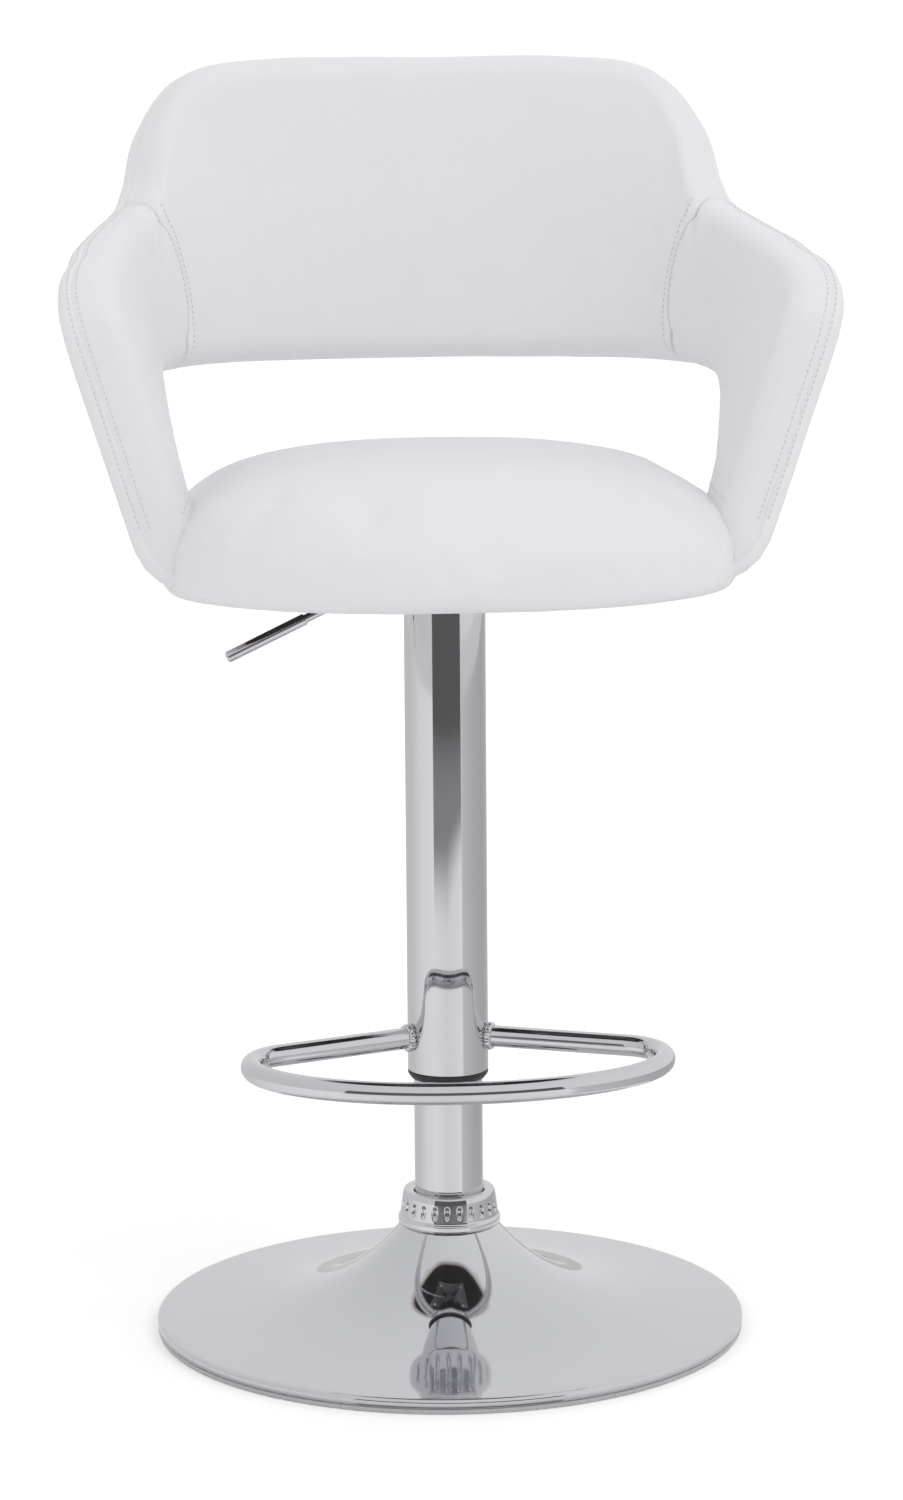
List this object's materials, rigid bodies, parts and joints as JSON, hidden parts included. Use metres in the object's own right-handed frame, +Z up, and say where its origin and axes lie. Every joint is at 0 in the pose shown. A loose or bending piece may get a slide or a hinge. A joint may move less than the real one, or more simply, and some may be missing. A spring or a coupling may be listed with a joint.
{
  "type": "adjustable swivel stool",
  "caption": "Swivel stool with gas lift: padded seat with wrap-round back and arms, chromed column, footrest ring, release lever and trumpet base.",
  "frame": {"origin": "on the floor under the axis of the column", "axes": "+Z up along the column, -Y towards the front of the seat and the footrest, +X to the sitter's left"},
  "size_m": [0.5534, 0.4453, 0.9418],
  "materials": {
    "chrome": "polished",
    "white_leatherette": "satin",
    "grey_rubber": "satin",
    "dark_steel": "satin",
    "steel": "satin",
    "zinc": "satin",
    "black_plastic": "satin",
    "black_cloth": "matte",
    "plywood": "matte"
  },
  "bodies": {
    "base": {"base_dish": "chrome", "floor_ring": "grey_rubber", "ballast_plate": "dark_steel", "column_flange": "steel", "flange_bolt_1": "zinc", "flange_bolt_2": "zinc", "flange_bolt_3": "zinc", "flange_bolt_4": "zinc", "column_tube": "chrome", "guide_bush": "black_plastic", "collar_ring": "chrome", "bearing_seat": "steel", "lower_race": "steel"},
    "bearing_cage": {"ball_cage": "zinc"},
    "spindle": {"piston_rod": "chrome", "piston": "black_plastic", "upper_race": "steel", "rod_clip": "zinc"},
    "seat": {"gas_cylinder": "dark_steel", "rod_guide": "black_plastic", "shroud_tube": "chrome", "shroud_cap": "black_plastic", "shroud_retainer": "zinc", "wiper_bush": "black_plastic", "footrest_ring": "chrome", "mechanism_plate": "dark_steel", "lever_pin": "zinc", "plate_bolt_1": "zinc", "plate_bolt_2": "zinc", "plate_bolt_3": "zinc", "plate_bolt_4": "zinc", "seat_board": "plywood", "dust_cover": "black_cloth", "seat_cushion": "white_leatherette", "back_shell": "white_leatherette", "back_pad": "white_leatherette", "arm_pad_left": "white_leatherette", "arm_pad_right": "white_leatherette", "shell_bolt_1": "zinc", "shell_bolt_2": "zinc", "shell_bolt_3": "zinc", "shell_bolt_4": "zinc"},
    "lever": {"release_lever": "chrome", "lever_grip": "chrome"},
    "valve": {"valve_button": "zinc"}
  },
  "joints": [
    {"name": "swivel", "type": "hinge", "parent": "base", "child": "spindle", "pos_m": [0, 0, 0.3], "axis": [0, 0, 1], "continuous": true},
    {"name": "cage_roll", "type": "hinge", "parent": "base", "child": "bearing_cage", "pos_m": [0, 0, 0.0325], "axis": [0, 0, 1], "continuous": true},
    {"name": "height", "type": "slide", "parent": "spindle", "child": "seat", "axis": [0, 0, 1], "range_m": [-0.085, 0.115]},
    {"name": "lever_lift", "type": "hinge", "parent": "seat", "child": "lever", "pos_m": [-0.024, 0, 0.5697], "axis": [0, 1, 0], "range_deg": [0, 8], "stiffness_Nm_per_rad": 1.5},
    {"name": "valve_press", "type": "slide", "parent": "seat", "child": "valve", "axis": [0, 0, -1], "range_m": [0, 0.0035], "stiffness_N_per_m": 600}
  ],
  "couplings": [
    {"joint": "cage_roll", "follows": "swivel", "ratio": 0.5},
    {"joint": "valve_press", "follows": "lever_lift", "m_per_rad": 0.024}
  ]
}
